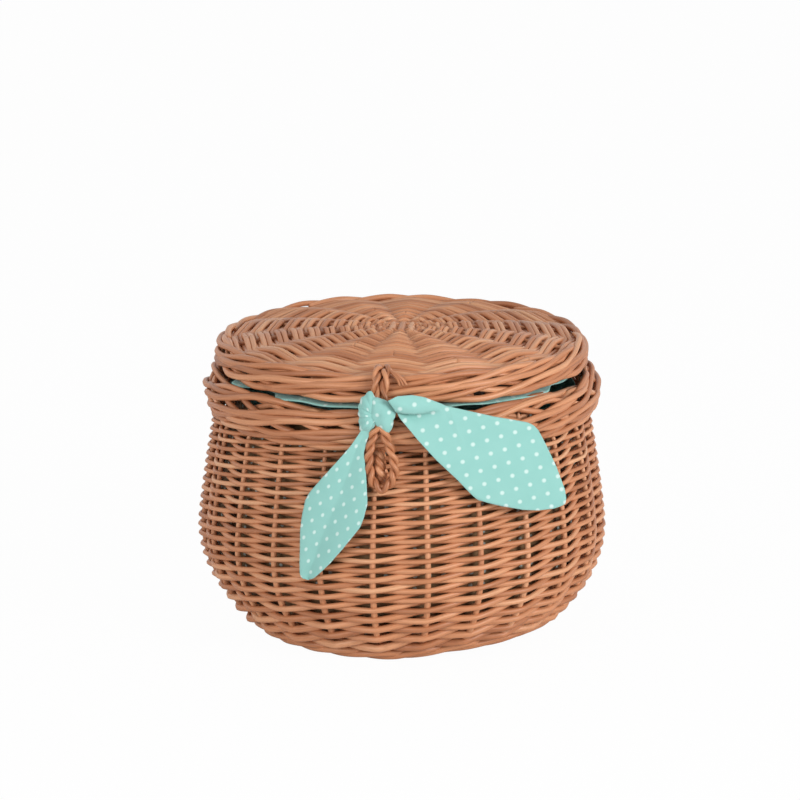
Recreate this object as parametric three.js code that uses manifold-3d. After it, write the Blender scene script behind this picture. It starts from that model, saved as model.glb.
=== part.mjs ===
// A round, pot-bellied willow basket with a domed lid, cloth lining and a ribbon on its front loop.
// Millimetres, +Z up. The basket stands on z = 0 with its middle on the Z axis, and its front is -Y.
// The woven walls are closed shells of the weave's own thickness; the stakes and sticks that the
// weave is made on are separate rods, lying in channels through those shells.
import * as THREE from 'three';
import { mergeVertices } from 'three/addons/utils/BufferGeometryUtils.js';
import Module from 'manifold-3d';

const wasm = await Module();
wasm.setup();

// Driving dimensions of the body
const FOOT_RADIUS = 112.7; // where the belly's curve would meet the floor
const FOOT_FLAT = 108; // outer edge of the flat ring that the basket stands on
const BELLY_RADIUS = 160.2;
const BELLY_HEIGHT = 85;
const BELLY_CURVE = 2.2; // power of the curve from the foot up to the belly
const NECK_RADIUS = 148.3;
const NECK_HEIGHT = 168;
const NECK_CURVE = 1.25; // power of the curve from the belly up to the neck
const WALL = 11; // one stake with a rod before and behind it
const UPSETT_TOP = 22; // top of the heavy rows that turn the stakes up
const WALE_HEIGHT = 10; // heavy rows under the border
const RIM_HEIGHT = 27;
const RIM_BULGE = 6.9; // how far the border stands out past the neck
const RIM_THICKNESS = 18;
const LEAN = 0.035; // the border's top and the lid lie this much lower towards the front

// Rods of the body
const STAKE_COUNT = 24;
const STAKE_RADIUS = 2.1;
const STAKE_TURN = -92; // degrees, the first stake just beside the front loop
const STAKE_START = 75; // how far in under the base the stakes begin
const STAKE_INTO_RIM = 18;

// Base
const BASE_THICKNESS = 12;
const BASE_LIFT = 1.5; // the base hangs this far clear of the floor inside the foot
const BASE_RADIUS = 98;
const STICK_THICK = 3.6; // radius of the three slit sticks of a cross
const STICK_THIN = 1.8; // radius of the sticks that pass through the slits
const STICK_SPACING = 8.4;
const STICK_STRAIGHT = 13; // each stick runs straight this far either side of the middle
const BASE_THIN_STICKS = 3; // so twelve arms
const LID_THIN_STICKS = 4; // so fourteen arms
const CROSS_HOLE = 15; // the weave starts outside this radius

// Lid, heights measured from its own underside
const LID_RADIUS = 145.7;
const LID_BORDER_HEIGHT = 14;
const LID_BORDER_WIDTH = 18;
const LID_SHOULDER_RADIUS = 134;
const LID_SHOULDER_HEIGHT = 21.5;
const LID_CROWN_HEIGHT = 30;
const LID_WEAVE = 10.5;
const SEAM = 4; // room for the cloth between the rim and the lid
const LID_STICK_DROP = 5; // how far the sticks reach down into the border

// Cloth
const CLOTH = 1.6;
const LINING_DROP = 15; // the bag's edge lies this far below the top of the border
const LID_CLOTH = 3.1;
const LID_CLOTH_RADIUS = 140.5;

// Twisted loops
const TWIST_RADIUS = 2.75;
const HINGE_RADIUS = 12; // middle line of a hinge ring
const HINGE_OFFSET = 26; // each hinge ring's distance from the middle
const HINGE_BEHIND = 0.8; // the hinge line lies this far behind the lid's edge
const FRONT_RING_TWIST = 3.3;
const FRONT_RING_TALL = 9.4; // half height of the ring's middle line
const FRONT_RING_DEEP = 5.2; // half depth of the ring's middle line
const FRONT_RING_SIDE = 2; // sits beside the front stake
const FRONT_RING_SINK = 2.8; // its middle lies this far inside the wall's face
const FRONT_RING_DROP = 11; // middle of the ring below the neck
const LOOP_SIDE = -6.2; // passes the lid beside its front stick
const LOOP_NECK = 13.4; // the loop parts in two this far below the swing line
const LOOP_LENGTH = 69.4; // from the swing line down to the loop's lowest middle line
const LOOP_HALF_WIDTH = 14;
const LOOP_MIDDLE = 1;
const LOOP_END_ANGLE = -15; // degrees, where the loop's end lies under the lid
const LOOP_SWING = 35; // degrees that the loop swings out

// Ribbon
const KNOT_SIZE = [13.5, 6.6, 13.5]; // half width, depth and height
const KNOT_DROP = 4; // middle of the knot below the top of the border
const RIBBON = 1.6; // thickness of the ribbon
const DRAPE = 2.4; // how far the tails stand off the belly and the border
const TAIL_FOLD = 3; // height of the folds that run down the tails
const TAIL_SIDE = 19; // degrees, which way the flat right tail faces

// Clearances
const FIT = 0.35; // between two pieces that are woven together
const RING_FIT = 0.5; // around the twisted rings
const ROUND = 36; // facets around the basket
const INNER_STEPS = 4; // steps up the inside of the wall, shared by the weave and its lining
const WEAVE_FACETS = 48; // two for each stake, shared by the weave and its lining
const WEAVE_BANDS = 12; // bands of relief up the side, each about three rows high
const WEAVE_SWAY = 2.6; // how far the weave sways in between the stakes and behind them
const LID_SWAY = 3.2; // how far the lid's weave dips between its sticks

// Heights and places worked out from the values above
const WALE_TOP = NECK_HEIGHT + WALE_HEIGHT;
const RIM_TOP = WALE_TOP + RIM_HEIGHT;
const LID_BASE = RIM_TOP + SEAM;
const RIM_WIDE = NECK_RADIUS + RIM_BULGE;
const BASE_TOP = BASE_LIFT + BASE_THICKNESS;
const BASE_MIDDLE = BASE_LIFT + BASE_THICKNESS / 2;
const HINGE_Y = LID_RADIUS + HINGE_BEHIND;
const HINGE_Z = RIM_TOP + SEAM / 2 - 0.5 + LEAN * HINGE_Y;
const LID_STICK_END = LID_RADIUS - LID_BORDER_WIDTH / 2;
const LOOP_REACH = LID_BORDER_HEIGHT + TWIST_RADIUS + RING_FIT;
const SWING_Y = -(LID_RADIUS + TWIST_RADIUS + RING_FIT - LOOP_REACH);
const SWING_Z = LID_BASE + LID_BORDER_HEIGHT / 2 + 1.5 + LEAN * SWING_Y;
const LINING_TOP = RIM_TOP - LINING_DROP;
const KNOT_HEIGHT = RIM_TOP - KNOT_DROP;
const FRONT_RING_HEIGHT = NECK_HEIGHT - FRONT_RING_DROP;
const FRONT_RING_Y = FRONT_RING_SINK - wallRadius(FRONT_RING_HEIGHT);
const FRONT_RING_FACE = FRONT_RING_DEEP + FRONT_RING_TWIST - FRONT_RING_Y;
const LOOP_LOW = wallRadius(SWING_Z - LOOP_LENGTH - TWIST_RADIUS);
const LOOP_FRONT = Math.max(RIM_WIDE, FRONT_RING_FACE, LOOP_LOW) + TWIST_RADIUS + FIT;

const material = (color, roughness) => new THREE.MeshStandardMaterial({ color, roughness, metalness: 0 });
const WILLOW = material(0xc98f66, 0.55);
const WILLOW_PALE = material(0xdba87f, 0.5);
const WILLOW_DARK = material(0xa9704a, 0.6);
const COTTON = material(0x9fdccf, 0.9);

// A closed solid from a geometry: shared corners merged, flat slivers at the axis dropped, faces out.
function solid(geometry) {
  let shape = geometry.index ? geometry.toNonIndexed() : geometry.clone();
  for (const name of ['normal', 'uv']) shape.deleteAttribute(name);
  shape = mergeVertices(shape, 1e-4);
  const corners = shape.attributes.position.array;
  const index = shape.index.array;
  const faces = [];
  let volume = 0;
  const at = (i) => new THREE.Vector3(corners[3 * i], corners[3 * i + 1], corners[3 * i + 2]);
  for (let i = 0; i < index.length; i += 3) {
    const [a, b, c] = [index[i], index[i + 1], index[i + 2]];
    if (a === b || b === c || c === a) continue;
    faces.push([a, b, c]);
    volume += at(a).dot(at(b).cross(at(c)));
  }
  const outward = volume > 0 ? faces : faces.map(([a, b, c]) => [a, c, b]);
  const mesh = new wasm.Mesh({
    numProp: 3,
    vertProperties: new Float32Array(corners),
    triVerts: new Uint32Array(outward.flat()),
  });
  return new wasm.Manifold(mesh);
}

function geometryOf(shape) {
  const { vertProperties, triVerts } = shape.getMesh();
  const geometry = new THREE.BufferGeometry();
  geometry.setAttribute('position', new THREE.BufferAttribute(new Float32Array(vertProperties), 3));
  geometry.setIndex(new THREE.BufferAttribute(new Uint32Array(triVerts), 1));
  geometry.computeVertexNormals();
  return geometry;
}

function piece(name, shape, look) {
  const mesh = new THREE.Mesh(geometryOf(shape), look);
  mesh.name = name;
  return mesh;
}

// The lean grows from nothing at the neck to its full measure at the border's top and above it.
function leaned(shape) {
  return shape.warp((point) => {
    const share = THREE.MathUtils.clamp((point[2] - WALE_TOP) / RIM_HEIGHT, 0, 1);
    point[2] += LEAN * point[1] * share;
  });
}

// Turns an outline of [radius, height] points round the Z axis.
function turned(outline, facets = ROUND) {
  const points = outline.map(([radius, height]) => new THREE.Vector2(radius, height));
  return solid(new THREE.LatheGeometry(points, facets).rotateX(Math.PI / 2));
}

// A ring whose cross-section is a closed outline.
const ringOf = (outline, facets) => turned([...outline, outline[0]], facets);

function polygon(radius, sides) {
  const corners = [];
  for (let i = 0; i < sides; i += 1) {
    const angle = (2 * Math.PI * (i + 0.5)) / sides;
    corners.push(new THREE.Vector2(radius * Math.cos(angle), radius * Math.sin(angle)));
  }
  return new THREE.Shape(corners);
}

// A flat outline of [radius, height] points, given a width and stood in the XZ plane.
function standing(outline, width) {
  const shape = new THREE.Shape(outline.map(([radius, height]) => new THREE.Vector2(radius, height)));
  const slab = new THREE.ExtrudeGeometry(shape, { depth: width, bevelEnabled: false });
  return solid(slab.rotateX(Math.PI / 2).translate(0, width / 2, 0));
}

function swept(section, path, steps) {
  return solid(new THREE.ExtrudeGeometry(section, { steps, extrudePath: path, bevelEnabled: false }));
}

const curve = (points) => new THREE.CatmullRomCurve3(points.map((p) => new THREE.Vector3(...p)));

const radians = THREE.MathUtils.degToRad;

// Copies of a shape turned round the Z axis, joined.
function aroundAxis(shape, turns) {
  return turns.map((turn) => shape.rotate([0, 0, turn])).reduce((all, one) => all.add(one));
}

// Outer radius of the wall at a height.
function wallRadius(height) {
  if (height < BELLY_HEIGHT) {
    const down = (BELLY_HEIGHT - height) / BELLY_HEIGHT;
    return BELLY_RADIUS - (BELLY_RADIUS - FOOT_RADIUS) * down ** BELLY_CURVE;
  }
  const up = (height - BELLY_HEIGHT) / (NECK_HEIGHT - BELLY_HEIGHT);
  return BELLY_RADIUS - (BELLY_RADIUS - NECK_RADIUS) * Math.min(up, 1) ** NECK_CURVE;
}

// Points up the wall from one height to another, set in from its outer face.
function wallPoints(low, high, steps, inset = 0) {
  const points = [];
  for (let i = 0; i <= steps; i += 1) {
    const height = low + ((high - low) * i) / steps;
    points.push([wallRadius(height) - inset, height]);
  }
  return points;
}

// The crosses of base and lid: three slit sticks, and three or four that pass through the slits.
function crossPath(side, fanStep, reach, heightAt, end = []) {
  const fan = radians(side * fanStep);
  const lay = (along, across) => [along, across, heightAt(Math.hypot(along, across))];
  const half = [lay(STICK_STRAIGHT / 2, side * STICK_SPACING), lay(STICK_STRAIGHT, side * STICK_SPACING)];
  for (const share of [0.42, 0.72, 1]) {
    half.push(lay(share * reach * Math.cos(fan), share * reach * Math.sin(fan)));
  }
  for (const [radius, height] of end) half.push([radius * Math.cos(fan), radius * Math.sin(fan), height]);
  const mirrored = half.map(([x, y, z]) => [-x, y, z]).reverse();
  return curve([...mirrored, ...half]);
}

function crossSticks(thinCount, firstTurn, steps, reach, heightAt, end, trim) {
  const sides = [-1, 0, 1];
  const thinSides = Array.from({ length: thinCount }, (_, i) => i - (thinCount - 1) / 2);
  const make = (radius, count, turn) => (side) => {
    const path = crossPath(side, 180 / (sides.length + thinCount), reach, heightAt, end);
    return swept(polygon(radius, count), path, steps).rotate([0, 0, firstTurn + turn]);
  };
  // a stick's channel is square
  const room = (places, radius, turn) => {
    const corner = (radius + FIT) * Math.SQRT2;
    return places.map(make(corner, 4, turn)).reduce((all, one) => all.add(one));
  };
  const thinRoom = room(thinSides, STICK_THIN, 90);
  const thin = thinSides.map(make(STICK_THIN, 5, 90));
  const thick = sides.map(make(STICK_THICK, 6, 0)).map((stick) => stick.subtract(thinRoom));
  return { sticks: [...thick, ...thin].map(trim), room: thinRoom.add(room(sides, STICK_THICK, 0)) };
}

// The stakes run out from under the base, turn up through the wall and end inside the border.
const stakeInset = WALL / 2;
const stakeEnd = WALE_TOP + STAKE_INTO_RIM;
const stakePath = curve([
  [STAKE_START - 1, 0, BASE_MIDDLE],
  [BASE_RADIUS, 0, BASE_MIDDLE],
  [FOOT_RADIUS, 0, BASE_MIDDLE + 2],
  ...wallPoints(UPSETT_TOP, NECK_HEIGHT, 4, stakeInset).map(([r, z]) => [r, 0, z]),
  [NECK_RADIUS - stakeInset, 0, stakeEnd + 1],
]);
const STAKE_STEPS = 7;
const stakeTurns = Array.from({ length: STAKE_COUNT }, (_, i) => STAKE_TURN + (i * 360) / STAKE_COUNT);
const stake = swept(polygon(STAKE_RADIUS, 4), stakePath, STAKE_STEPS)
  .trimByPlane([1, 0, 0], STAKE_START)
  .trimByPlane([0, 0, -1], -stakeEnd);

// Each stake's channel is square.
const channelHalf = STAKE_RADIUS + FIT;
const channelInner = [];
const channelOuter = [];
stakePath.getSpacedPoints(STAKE_STEPS).forEach((point, i) => {
  const tangent = stakePath.getTangentAt(i / STAKE_STEPS);
  channelInner.push([point.x - tangent.z * channelHalf, point.z + tangent.x * channelHalf]);
  channelOuter.push([point.x + tangent.z * channelHalf, point.z - tangent.x * channelHalf]);
});
const channel = standing([...channelInner, ...channelOuter.reverse()], 2 * channelHalf);
const channels = aroundAxis(channel, stakeTurns);

// Base
const flatCross = crossSticks(
  BASE_THIN_STICKS,
  0,
  6,
  BASE_RADIUS + 1,
  () => BASE_MIDDLE,
  [],
  (stick) => stick.intersect(turned([[0, 0], [BASE_RADIUS - 1, 0], [BASE_RADIUS - 1, BASE_TOP], [0, BASE_TOP]])),
);
const stickTurn = STAKE_TURN + 180 / STAKE_COUNT;
const baseWeave = ringOf([
  [CROSS_HOLE, BASE_LIFT],
  [BASE_RADIUS, BASE_LIFT],
  [BASE_RADIUS, BASE_TOP],
  [CROSS_HOLE, BASE_TOP],
]).subtract(flatCross.room.rotate([0, 0, stickTurn])).subtract(channels);

// Upsett: the heavy rows that turn the stakes up, whose flat underside is the foot
const upsett = ringOf([
  [BASE_RADIUS + FIT, 0],
  [FOOT_FLAT, 0],
  ...wallPoints(5, UPSETT_TOP, 1),
  [wallRadius(UPSETT_TOP) - WALL, UPSETT_TOP],
  [FOOT_RADIUS - 1, BASE_TOP],
  [BASE_RADIUS + FIT, BASE_TOP],
]).subtract(channels);

// The front ring is threaded through the wall below the border
class FlatRing extends THREE.Curve {
  getPoint(share) {
    const angle = 2 * Math.PI * share;
    const y = FRONT_RING_Y + FRONT_RING_DEEP * Math.cos(angle);
    return new THREE.Vector3(FRONT_RING_SIDE, y, FRONT_RING_HEIGHT + FRONT_RING_TALL * Math.sin(angle));
  }
}
const flatRing = (radius) => solid(new THREE.TubeGeometry(new FlatRing(), 20, radius, 6, true));
const frontRing = flatRing(FRONT_RING_TWIST);
const frontRingRoom = flatRing(FRONT_RING_TWIST + FIT);

// Hinge rings: the border of the lid turns in them, on their own middle
function ringAcross(ringRadius, rodRadius, sides) {
  return solid(new THREE.TorusGeometry(ringRadius, rodRadius, sides, 20).rotateY(Math.PI / 2));
}
const hingeAt = (side) => [side * HINGE_OFFSET, HINGE_Y, HINGE_Z];
const hingeSlot = ringAcross(HINGE_RADIUS, TWIST_RADIUS + RING_FIT, 8);
const hingeRoom = hingeSlot.translate(hingeAt(-1)).add(hingeSlot.translate(hingeAt(1)));
const hingeRing = ringAcross(HINGE_RADIUS, TWIST_RADIUS, 7);

// The side wall has the weave's relief in bands: at each stake a band lies in front of it or sways
// in behind it, turn and turn about, and between the stakes it lies in the middle of the wall.
const bandHeight = (NECK_HEIGHT - UPSETT_TOP - FIT) / WEAVE_BANDS;
function swayed(turn, height) {
  const place = Math.round((turn * WEAVE_FACETS) / 360);
  const band = Math.round((height - UPSETT_TOP - FIT) / bandHeight);
  return place % 2 || (place / 2 + band) % 2 ? WEAVE_SWAY : 0;
}

// A turned ring whose corners are moved by a change of [radius, height] for their turn and height.
function reliefRing(outline, facets, change) {
  const points = [...outline, outline[0]].map(([radius, height]) => new THREE.Vector2(radius, height));
  const geometry = new THREE.LatheGeometry(points, facets);
  const corners = geometry.attributes.position;
  const turnOf = new THREE.Vector2();
  for (let i = 0; i < corners.count; i += 1) {
    const radius = turnOf.set(corners.getX(i), corners.getZ(i)).length();
    const turn = THREE.MathUtils.radToDeg(Math.atan2(corners.getX(i), corners.getZ(i)) + 2 * Math.PI);
    const [newRadius, height] = change(radius, corners.getY(i), turn % 360);
    const grown = newRadius / radius;
    corners.setXYZ(i, corners.getX(i) * grown, height, corners.getZ(i) * grown);
  }
  return solid(geometry.rotateX(Math.PI / 2));
}
const sideWeave = reliefRing([
  ...wallPoints(UPSETT_TOP + FIT, NECK_HEIGHT, WEAVE_BANDS),
  ...wallPoints(UPSETT_TOP + FIT, NECK_HEIGHT, INNER_STEPS, WALL).reverse(),
], WEAVE_FACETS, (radius, height, turn) => {
  const outer = radius > wallRadius(height) - WALL / 2;
  return [outer ? radius - swayed(turn, height) : radius, height];
}).rotate([0, 0, STAKE_TURN + 90]).subtract(channels).subtract(frontRingRoom);

const rimFoot = NECK_RADIUS + RIM_BULGE * 0.4;
const topWale = ringOf([
  [NECK_RADIUS, NECK_HEIGHT + FIT],
  [rimFoot, WALE_TOP],
  [NECK_RADIUS - WALL, WALE_TOP],
  [NECK_RADIUS - WALL, NECK_HEIGHT + FIT],
]).subtract(channels).subtract(frontRingRoom);

const rimInner = RIM_WIDE - RIM_THICKNESS;
const rimRoll = RIM_THICKNESS * 0.45; // the top edge rolls over from both sides
const rimRing = ringOf([
  [rimFoot + FIT, WALE_TOP + FIT],
  [RIM_WIDE, WALE_TOP + RIM_HEIGHT * 0.26],
  [RIM_WIDE - 1, WALE_TOP + RIM_HEIGHT * 0.52],
  [RIM_WIDE - 4, WALE_TOP + RIM_HEIGHT * 0.8],
  [RIM_WIDE - rimRoll, RIM_TOP],
  [rimInner + rimRoll * 0.6, RIM_TOP],
  [rimInner, RIM_TOP - rimRoll * 0.6],
  [rimInner, WALE_TOP + FIT],
]).subtract(channels);
const rimBorder = leaned(rimRing).subtract(hingeRoom);

// Cloth lining of the body, an open bag against the inside of the weave
const bagOuter = [
  [0, BASE_TOP + FIT],
  [FOOT_RADIUS - 4, BASE_TOP + FIT],
  ...wallPoints(UPSETT_TOP + FIT, NECK_HEIGHT, INNER_STEPS, WALL + 2 * FIT),
  [NECK_RADIUS - WALL - FIT - 1, WALE_TOP],
  [rimInner - FIT - 1, LINING_TOP],
];
const bagInner = [
  [rimInner - FIT - 1 - CLOTH, LINING_TOP],
  [NECK_RADIUS - WALL - FIT - 1 - CLOTH, WALE_TOP],
  ...wallPoints(UPSETT_TOP + FIT, NECK_HEIGHT, INNER_STEPS, WALL + 2 * FIT + CLOTH).reverse(),
  [FOOT_RADIUS - 4 - CLOTH, BASE_TOP + FIT + CLOTH],
  [0, BASE_TOP + FIT + CLOTH],
];
const liningBag = turned([...bagOuter, ...bagInner], WEAVE_FACETS).rotate([0, 0, STAKE_TURN + 90]);

// Lid, drawn from its own underside upward
const crown = (radius) => {
  const fall = (LID_CROWN_HEIGHT - LID_SHOULDER_HEIGHT) * (radius / LID_SHOULDER_RADIUS) ** 3;
  return LID_CROWN_HEIGHT - fall;
};
const lidInner = LID_RADIUS - LID_BORDER_WIDTH;
const lidEdge = LID_RADIUS - 4.5; // where the weave meets the border
const lidStations = [CROSS_HOLE, ...[0.5, 0.8].map((share) => share * LID_SHOULDER_RADIUS)];
const lidWeaveOutline = [
  ...lidStations.map((radius) => [radius, crown(radius)]),
  [LID_SHOULDER_RADIUS, LID_SHOULDER_HEIGHT],
  [lidEdge, LID_BORDER_HEIGHT + FIT],
  [lidInner, LID_BORDER_HEIGHT + FIT],
  ...lidStations.map((radius) => [radius, crown(radius) - LID_WEAVE]).reverse(),
];
const lidBorderOutline = [
  [lidInner + 2, 0],
  [LID_RADIUS - 2.5, 0],
  [LID_RADIUS, LID_BORDER_HEIGHT * 0.58],
  [lidEdge, LID_BORDER_HEIGHT],
  [lidInner, LID_BORDER_HEIGHT],
  [lidInner, 2],
];
const LID_ARMS = 2 * (3 + LID_THIN_STICKS);
const lidCross = crossSticks(
  LID_THIN_STICKS,
  90,
  7,
  lidInner - 4,
  (radius) => crown(radius) - LID_WEAVE / 2,
  [
    [LID_STICK_END - 2, LID_BORDER_HEIGHT + 1],
    [LID_STICK_END, LID_BORDER_HEIGHT - LID_STICK_DROP - 1],
  ],
  (stick) => stick.trimByPlane([0, 0, 1], LID_BORDER_HEIGHT - LID_STICK_DROP),
);

// Loop of the lid: it swings on a line inside the border, so its top is an arc about that line
const arcPoint = (degrees) => [
  LOOP_SIDE,
  SWING_Y + LOOP_REACH * Math.cos(radians(degrees)),
  SWING_Z + LOOP_REACH * Math.sin(radians(degrees)),
];
const loopRoom = ringAcross(LOOP_REACH, TWIST_RADIUS + RING_FIT, 8).translate([LOOP_SIDE, SWING_Y, SWING_Z]);
const lidCuts = hingeRoom.add(loopRoom);

// Between the sticks the top of the lid's weave dips, and over each stick it stands up
const lidWeave = reliefRing(lidWeaveOutline, 3 * LID_ARMS, (radius, height, turn) => {
  const top = height > crown(radius) - 1 && radius > CROSS_HOLE + 1 && radius < LID_SHOULDER_RADIUS - 1;
  const dip = Math.sin(radians((turn * LID_ARMS) / 2)) ** 2;
  return [radius, top ? height - LID_SWAY * dip : height];
}).subtract(lidCross.room);
const lidBorder = ringOf(lidBorderOutline).subtract(lidCross.room);
const lidLining = turned([
  [0, -LID_CLOTH - FIT],
  [LID_CLOTH_RADIUS - 1, -LID_CLOTH - FIT],
  [LID_CLOTH_RADIUS, -LID_CLOTH / 2 - FIT],
  [LID_CLOTH_RADIUS - 1, -FIT],
  [0, -FIT],
]);

const loopTop = SWING_Z - LOOP_NECK;
const loopBottom = SWING_Z - LOOP_LENGTH;
const arcStations = [];
for (let degrees = LOOP_END_ANGLE; degrees <= 180; degrees += 15) arcStations.push(arcPoint(degrees));
const stemPath = curve([
  ...arcStations,
  [LOOP_SIDE * 0.7, -(LOOP_FRONT - 0.3 * LOOP_NECK), SWING_Z - 0.6 * LOOP_NECK],
  [LOOP_MIDDLE, -LOOP_FRONT, loopTop],
]);
class HangingLoop extends THREE.Curve {
  getPoint(share) {
    const angle = 2 * Math.PI * share;
    const middle = (loopTop + loopBottom) / 2;
    const narrow = 0.62 - 0.38 * Math.cos(angle); // slim in the knot, wide below it
    const x = LOOP_MIDDLE - LOOP_HALF_WIDTH * narrow * Math.sin(angle);
    return new THREE.Vector3(x, -LOOP_FRONT, middle + ((loopTop - loopBottom) / 2) * Math.cos(angle));
  }
}
function loopOf(radius) {
  const hanging = solid(new THREE.TubeGeometry(new HangingLoop(), 20, radius, 6, true));
  return hanging.add(swept(polygon(radius, 6), stemPath, 18));
}
const lidLoop = loopOf(TWIST_RADIUS);

// Ribbon: a knot round the loop's neck, and two tails that hang over the wall
const nearBody = ringOf([
  [NECK_RADIUS, NECK_HEIGHT],
  [RIM_WIDE + FIT, WALE_TOP],
  [RIM_WIDE + FIT, WALE_TOP + RIM_HEIGHT * 0.55],
  [Math.max(LID_RADIUS + 2.4, RIM_WIDE - rimRoll + FIT), RIM_TOP + 0.5],
  [LID_RADIUS + 0.9, LID_BASE + LID_BORDER_HEIGHT],
  [lidInner, LID_BASE + LID_BORDER_HEIGHT],
  [lidInner, NECK_HEIGHT],
]);
function knotOf(grow) {
  const [wide, deep, tall] = KNOT_SIZE;
  const ball = new THREE.SphereGeometry(1, 12, 8).scale(wide + grow, deep + grow, tall + grow);
  return solid(ball).translate([LOOP_MIDDLE, -LOOP_FRONT, KNOT_HEIGHT]);
}
const ribbonKnot = knotOf(0).subtract(loopOf(TWIST_RADIUS + FIT)).subtract(leaned(nearBody));

// The ribbon's inner face against the basket, as [height, radius]: it lies on the belly, spans the
// neck and lies on the border.
const wallStand = (height, stand) => [height, wallRadius(height) + stand];
const tailLine = [
  wallStand(BELLY_HEIGHT * 0.8, DRAPE),
  wallStand(BELLY_HEIGHT * 1.05, DRAPE),
  wallStand(BELLY_HEIGHT + 0.42 * (NECK_HEIGHT - BELLY_HEIGHT), DRAPE + 1.6),
  wallStand(BELLY_HEIGHT + 0.78 * (NECK_HEIGHT - BELLY_HEIGHT), DRAPE + 3.2),
  [NECK_HEIGHT, RIM_WIDE + DRAPE - 0.6],
  [WALE_TOP + RIM_HEIGHT * 0.26, RIM_WIDE + DRAPE],
  [WALE_TOP + RIM_HEIGHT * 0.66, RIM_WIDE + DRAPE - 1],
  [RIM_TOP - 2, RIM_WIDE - 2.2],
  [RIM_TOP + 3, RIM_WIDE - 5],
  [RIM_TOP + 9, Math.max(LID_RADIUS + DRAPE + FIT, RIM_WIDE - 6.8)],
];

// Radius of the ribbon's inner face at a height.
function tailRadius(height) {
  const last = tailLine.length - 1;
  let i = 1;
  while (i < last && tailLine[i][0] < height) i += 1;
  const [lowHeight, lowRadius] = tailLine[i - 1];
  const [highHeight, highRadius] = tailLine[i];
  return lowRadius + ((highRadius - lowRadius) * (height - lowHeight)) / (highHeight - lowHeight);
}

// The left tail lies round the wall. The right one is stiff and hangs flat against the border.
const roundTail = (x, z) => -Math.sqrt(Math.max(tailRadius(z) ** 2 - x * x, 0));
const flatStand = RIM_WIDE + DRAPE + FIT;
const flatTail = (x) => -(flatStand - x * Math.sin(radians(TAIL_SIDE))) / Math.cos(radians(TAIL_SIDE));

// A ribbon tail. Each station is its two edges as [x, z, x, z], where x is in hundredths of the
// belly's radius and z in hundredths of the border's height. The inner face gives y at x and z, and
// strength is how high the folds stand at each station.
function tailOf(shares, inner, folds, strength, across = 8) {
  const stations = shares.map((row) => row.map((share, i) => (share / 100) * (i % 2 ? RIM_TOP : BELLY_RADIUS)));
  const outline = new THREE.Vector3();
  const corners = [];
  const faces = [];
  const wide = across + 1;
  for (const side of [0, 1]) {
    stations.forEach(([x0, z0, x1, z1], i) => {
      for (let j = 0; j <= across; j += 1) {
        const share = j / across;
        outline.set(x0 + (x1 - x0) * share, 0, z0 + (z1 - z0) * share);
        outline.y = inner(outline.x, outline.z);
        const fold = TAIL_FOLD * strength[i] * Math.sin(Math.PI * folds * share) ** 2;
        const away = outline.clone().setZ(0).setLength(fold + side * RIBBON);
        corners.push(...outline.add(away));
      }
    });
  }
  const sheet = stations.length * wide;
  const quad = (a, b, c, d) => faces.push(a, b, c, a, c, d);
  for (let i = 0; i < stations.length - 1; i += 1) {
    for (let j = 0; j < across; j += 1) {
      const a = i * wide + j;
      quad(a, a + 1, a + wide + 1, a + wide);
      quad(sheet + a, sheet + a + wide, sheet + a + wide + 1, sheet + a + 1);
    }
    const left = i * wide;
    const right = left + across;
    quad(left, left + wide, sheet + left + wide, sheet + left);
    quad(right, sheet + right, sheet + right + wide, right + wide);
  }
  const end = (stations.length - 1) * wide;
  for (let j = 0; j < across; j += 1) {
    quad(j, sheet + j, sheet + j + 1, j + 1);
    quad(end + j, end + j + 1, sheet + end + j + 1, sheet + end + j);
  }
  const geometry = new THREE.BufferGeometry();
  geometry.setAttribute('position', new THREE.Float32BufferAttribute(corners, 3));
  geometry.setIndex(faces);
  return solid(geometry).subtract(knotOf(FIT));
}
const leftTail = tailOf([
  [-7.5, 94.6, -5.4, 93.7],
  [-11.2, 88.3, -6.7, 88.3],
  [-15.6, 83.9, -8, 83.9],
  [-23.1, 76.1, -8.5, 77.1],
  [-31.8, 68.3, -7.9, 69.8],
  [-35.6, 60.5, -6.9, 62.4],
  [-37.1, 51.7, -8.7, 55.1],
  [-37, 43.9, -18.7, 46.3],
  [-36.5, 37.1, -30.6, 37.1],
], roundTail, 2, [0.25, 0.5, 0.75, 1, 1, 1, 1, 1, 1]);
const rightTail = tailOf([
  [8.1, 103.9, 8.1, 98],
  [15.5, 104.9, 10.8, 95],
  [25.6, 102.4, 16, 90.2],
  [37, 99, 25.5, 81],
  [48, 96.6, 34.6, 73.9],
  [58, 94.5, 43.8, 65.8],
  [67.6, 92.5, 54.6, 62.8],
  [72.6, 88.5, 64.4, 60.8],
  [77.6, 79, 71.4, 60.4],
  [83, 67.5, 78.3, 60.8],
], flatTail, 1, [0.25, 0.6, 1, 1, 0.9, 0.8, 0.7, 0.6, 0.5, 0.4]);

// The whole basket
const basket = new THREE.Group();
basket.name = 'lidded_basket';
const add = (name, shape, look) => basket.add(piece(name, shape, look));

flatCross.sticks.forEach((stick, i) => add(`base_stick_${i + 1}`, stick.rotate([0, 0, stickTurn]), WILLOW_DARK));
add('base_weave', baseWeave, WILLOW);
stakeTurns.forEach((turn, i) => {
  add(`side_stake_${String(i + 1).padStart(2, '0')}`, leaned(stake.rotate([0, 0, turn])), WILLOW_DARK);
});
add('upsett_wale', upsett, WILLOW);
add('side_weave', sideWeave, WILLOW_PALE);
add('top_wale', topWale, WILLOW);
add('rim_border', rimBorder, WILLOW_PALE);
add('lining_bag', leaned(liningBag), COTTON);
add('front_ring', frontRing, WILLOW_DARK);
add('hinge_ring_left', hingeRing.translate(hingeAt(-1)), WILLOW_DARK);
add('hinge_ring_right', hingeRing.translate(hingeAt(1)), WILLOW_DARK);

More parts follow.
